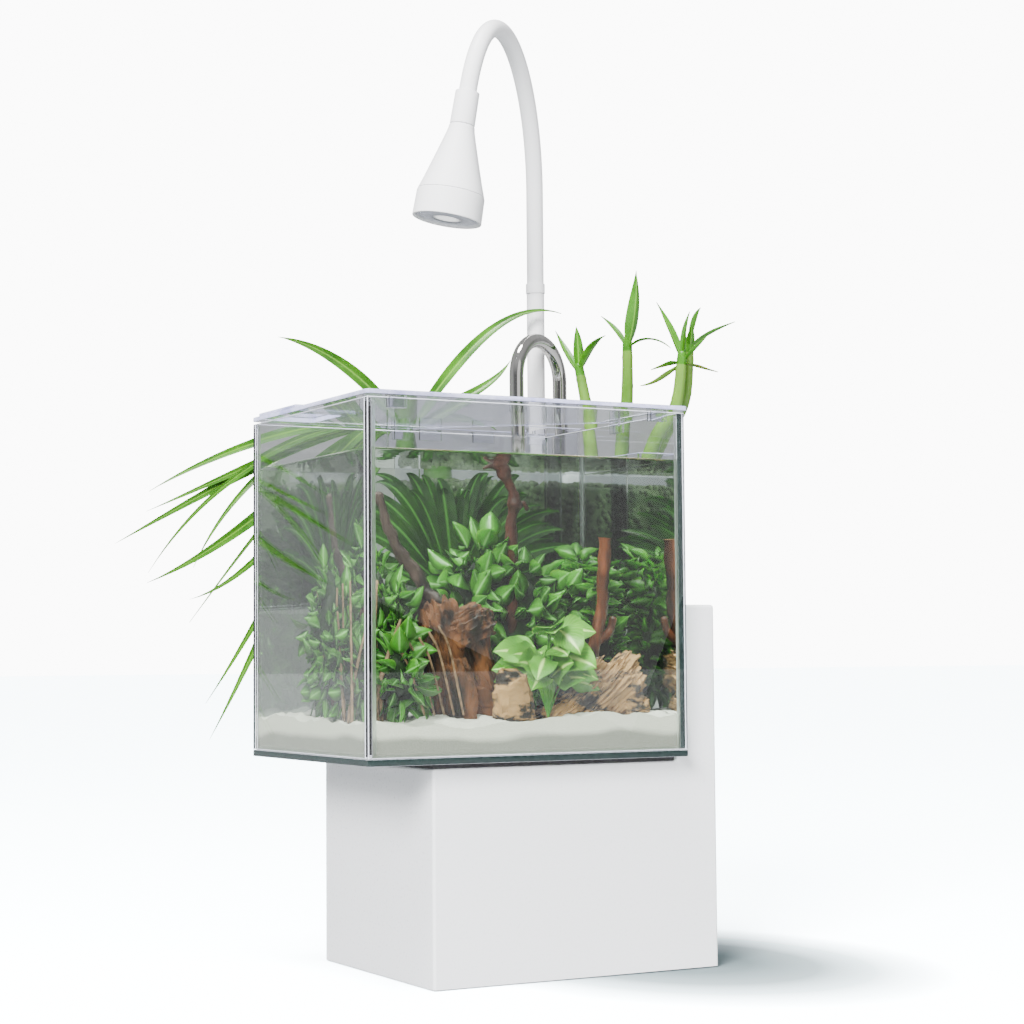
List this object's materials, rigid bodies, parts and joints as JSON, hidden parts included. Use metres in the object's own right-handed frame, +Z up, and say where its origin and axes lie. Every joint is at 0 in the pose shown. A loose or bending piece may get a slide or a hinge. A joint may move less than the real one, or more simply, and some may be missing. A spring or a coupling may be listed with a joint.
{
  "type": "aquarium on stand",
  "caption": "Small glass aquarium on a white L-shaped stand, with clear lid and feeding flap, planter trough behind, steel return pipe and bendable gooseneck lamp.",
  "frame": {"origin": "centre of the stand's underside, on the floor face of the rubber pad", "axes": "+Z up, -Y is the front, +X is the viewer's right when facing the front"},
  "size_m": [0.456, 0.275, 0.7772],
  "materials": {
    "white_lacquer": "satin white lacquered board",
    "board_core": "unfinished board",
    "black_rubber": "matte black rubber",
    "clear_glass": "clear float glass, faintly green at the edges",
    "clear_plastic": "clear acrylic with bright edges",
    "silicone": "clear silicone",
    "steel": "polished stainless steel",
    "white_plastic": "satin white",
    "black_plastic": "matte black",
    "bright_reflector": "bright metallised",
    "white_sand": "fine white sand",
    "brown_wood": "wet driftwood",
    "tan_stone": "rugged tan rock",
    "clay_pebbles": "expanded clay pebbles",
    "leaf_green": "leaf",
    "stalk_green": "waxy green stalk"
  },
  "bodies": {
    "base": {"front_panel": "white_lacquer", "back_panel": "white_lacquer", "left_panel": "white_lacquer", "right_panel": "white_lacquer", "upright_inner_panel": "white_lacquer", "deck_panel": "white_lacquer", "upright_cap": "white_lacquer", "floor_panel": "board_core", "base_pad": "black_rubber", "power_unit": "black_plastic", "power_inlet": "black_plastic", "tank_mat": "black_rubber", "tank_bottom": "clear_glass", "tank_front": "clear_glass", "tank_back": "clear_glass", "tank_left": "clear_glass", "tank_right": "clear_glass", "silicone_seal": "silicone", "sand_bed": "white_sand", "lid_clip_front_left": "clear_plastic", "lid_clip_front_right": "clear_plastic", "lid_clip_back": "clear_plastic", "lid_clip_side": "clear_plastic", "planter_trough": "clear_plastic", "overflow_chute": "clear_plastic", "lamp_socket": "white_plastic", "planter_media": "clay_pebbles", "side_media": "clay_pebbles", "spout_pipe": "steel", "riser_hose": "clear_plastic", "pump_body": "black_plastic", "pump_cover": "black_plastic", "stone_left": "tan_stone", "stone_right": "tan_stone", "driftwood_left": "brown_wood", "upright_stick": "brown_wood", "plant_clump_left": "leaf_green", "plant_clump_front": "leaf_green", "plant_clump_back": "leaf_green", "plant_clump_right": "leaf_green", "strap_plant": "leaf_green", "spider_plant": "leaf_green", "bamboo_rear": "stalk_green", "bamboo_middle": "stalk_green", "bamboo_pair": "stalk_green"},
    "lid": {"lid_plate": "clear_plastic", "flap_pin": "steel"},
    "flap": {"feeding_flap": "clear_plastic"},
    "stem": {"lamp_stem": "white_plastic", "stem_ferrule": "white_plastic"},
    "neck_middle_part": {"neck_middle": "white_plastic"},
    "neck_upper_part": {"neck_upper": "white_plastic"},
    "lamp_head": {"head_collar": "white_plastic", "head_shell": "white_plastic", "head_rim": "white_plastic", "led_board": "white_plastic", "reflector": "bright_reflector", "lens": "clear_glass"},
    "impeller_wheel": {"impeller": "white_plastic"},
    "flow_dial_wheel": {"flow_dial": "black_plastic"}
  },
  "joints": [
    {"name": "lid_lift", "type": "slide", "parent": "base", "child": "lid", "axis": [0, 0, 1], "range_m": [0, 0.06]},
    {"name": "flap_hinge", "type": "hinge", "parent": "lid", "child": "flap", "pos_m": [-0.1251, 0.055, 0.438], "axis": [0, 1, 0], "range_deg": [0, 110]},
    {"name": "stem_swivel", "type": "hinge", "parent": "base", "child": "stem", "pos_m": [0.0925, 0.13, 0.56], "axis": [0, 0, 1], "range_deg": [-90, 110]},
    {"name": "neck_joint_low", "type": "hinge", "parent": "stem", "child": "neck_middle_part", "pos_m": [0.0925, 0.13, 0.6], "axis": [0.6346, -0.7728, 0], "range_deg": [-20, 8]},
    {"name": "neck_joint_middle", "type": "hinge", "parent": "neck_middle_part", "child": "neck_upper_part", "pos_m": [0.04794, 0.08581, 0.76157], "axis": [0.6346, -0.7728, 0], "range_deg": [-20, 10]},
    {"name": "head_joint", "type": "hinge", "parent": "neck_upper_part", "child": "lamp_head", "pos_m": [-0.0226, 0.0355, 0.7052], "axis": [0.6346, -0.7728, 0], "range_deg": [-20, 20]},
    {"name": "impeller_spin", "type": "hinge", "parent": "base", "child": "impeller_wheel", "pos_m": [0.0482, 0.069, 0.2146], "axis": [0, 1, 0], "continuous": true},
    {"name": "flow_dial_turn", "type": "hinge", "parent": "base", "child": "flow_dial_wheel", "pos_m": [0.0299, 0.07825, 0.2146], "axis": [1, 0, 0], "range_deg": [0, 120]}
  ]
}
